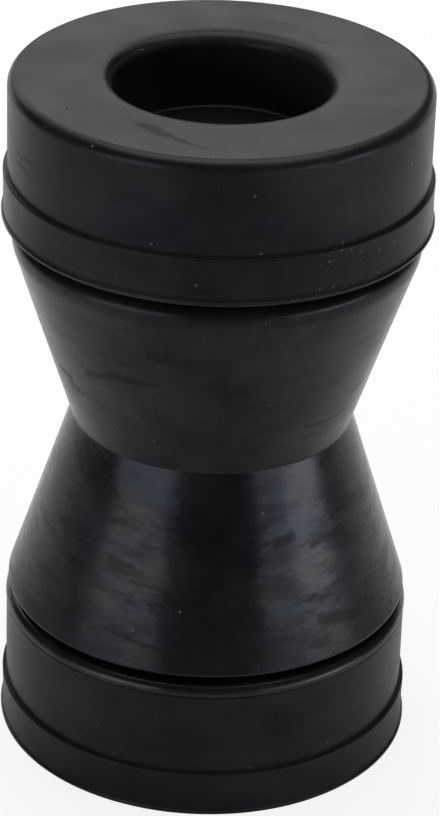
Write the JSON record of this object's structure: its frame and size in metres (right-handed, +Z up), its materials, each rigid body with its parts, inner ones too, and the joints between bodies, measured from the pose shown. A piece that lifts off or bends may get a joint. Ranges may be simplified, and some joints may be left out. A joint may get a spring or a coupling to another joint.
{
  "type": "boat trailer roller",
  "caption": "Hourglass keel roller moulded in solid black rubber, with a banded flange at each end, a V-shaped waist, and a shaft hole between recessed ends.",
  "frame": {"origin": "middle of the lower end face, on which the roller stands", "axes": "+Z up along the roller's axis and shaft hole"},
  "size_m": [0.0782, 0.0782, 0.131],
  "materials": {
    "rubber": "moulded black rubber, satin, with dust and scuffs"
  },
  "bodies": {
    "root": {"roller": "rubber"}
  },
  "joints": []
}
